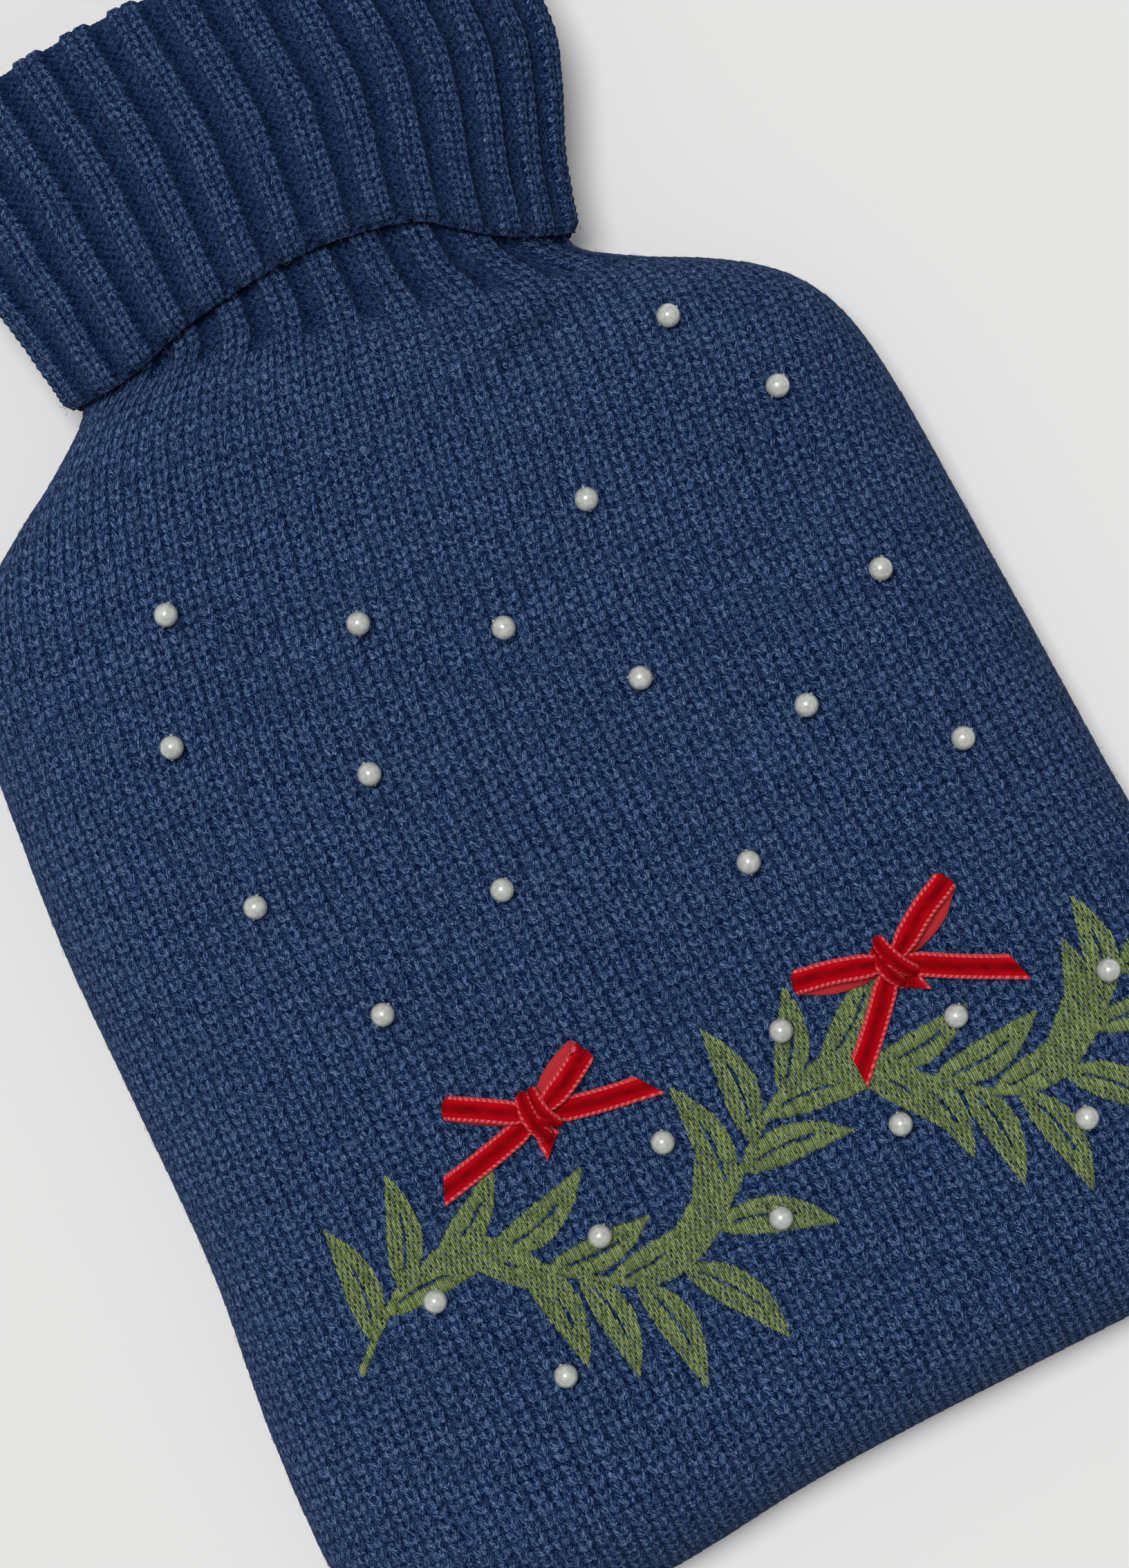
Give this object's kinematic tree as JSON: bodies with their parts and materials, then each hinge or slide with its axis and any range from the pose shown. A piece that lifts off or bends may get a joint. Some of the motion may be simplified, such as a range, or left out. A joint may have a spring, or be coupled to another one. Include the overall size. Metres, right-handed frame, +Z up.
{
  "type": "knitted hot water bottle cover",
  "caption": "Navy knitted cover for a hot water bottle, with a ribbed neck turned down as a collar, velvet ribbon bows, pearl beads and green embroidery.",
  "frame": {"origin": "on the surface that the cover lies on, under the middle of its box", "axes": "+Y along the cover towards its neck, +Z up, out of its front; +X to the right of the front with the neck up"},
  "size_m": [0.2404, 0.362, 0.0452],
  "materials": {
    "navy_knit_front": "heathered plain knit and two-by-two rib, soft and slightly hairy",
    "navy_knit_back": "heathered plain knit and two-by-two rib, soft and slightly hairy",
    "red_velvet_left": "short velvet pile between satin picot edges",
    "red_velvet_right": "short velvet pile between satin picot edges"
  },
  "bodies": {
    "root": {"front_panel": "navy_knit_front", "back_panel": "navy_knit_back", "bow_left": "red_velvet_left", "bow_right": "red_velvet_right"}
  },
  "joints": []
}
